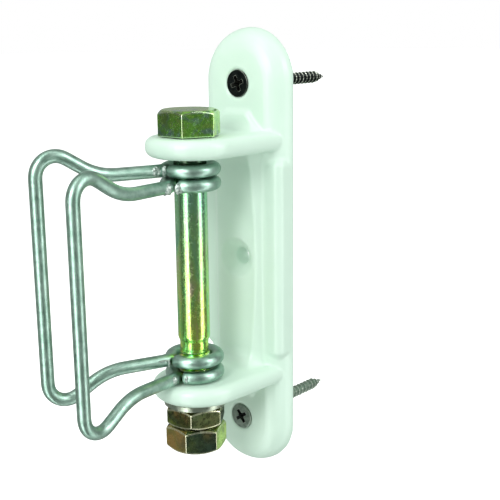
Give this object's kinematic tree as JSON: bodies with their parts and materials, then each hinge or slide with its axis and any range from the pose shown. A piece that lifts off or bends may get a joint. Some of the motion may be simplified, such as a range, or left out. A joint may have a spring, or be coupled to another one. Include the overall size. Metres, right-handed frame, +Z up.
{
  "type": "fence insulator",
  "caption": "Post insulator for an electric fence gate: a moulded bracket whose two ears carry an upright hex bolt with wire loops that swing about it.",
  "frame": {"origin": "on the bracket's flat back face, at the middle screw hole, half way up the bracket", "axes": "+Z up along the bracket and the bolt; +Y into the post, out of the back face; -Y out to the front, where the wire loops are"},
  "size_m": [0.0362, 0.1164, 0.1446],
  "materials": {
    "white_plastic": "smooth moulded, faint green tint",
    "bolt_zinc": "yellow passivated zinc, satin",
    "washer_zinc": "yellow passivated zinc, satin",
    "nut_zinc": "dark yellow passivated zinc",
    "galvanised_wire": "drawn galvanised wire, satin",
    "black_screw": "black phosphate",
    "grey_screw": "dull grey zinc"
  },
  "bodies": {
    "bracket": {"bracket": "white_plastic", "hex_bolt": "bolt_zinc", "flat_washer": "washer_zinc", "upper_nut": "nut_zinc", "lower_nut": "nut_zinc", "upper_screw": "black_screw", "lower_screw": "grey_screw"},
    "loop_a": {"wire_loop_a": "galvanised_wire"},
    "loop_b": {"wire_loop_b": "galvanised_wire"}
  },
  "joints": [
    {"name": "loop_a_swing", "type": "hinge", "parent": "bracket", "child": "loop_a", "pos_m": [0, -0.03, 0], "axis": [0, 0, 1], "range_deg": [-92.5, 7.5]},
    {"name": "loop_b_swing", "type": "hinge", "parent": "bracket", "child": "loop_b", "pos_m": [0, -0.03, 0], "axis": [0, 0, 1], "range_deg": [-9.5, 112.5]}
  ]
}
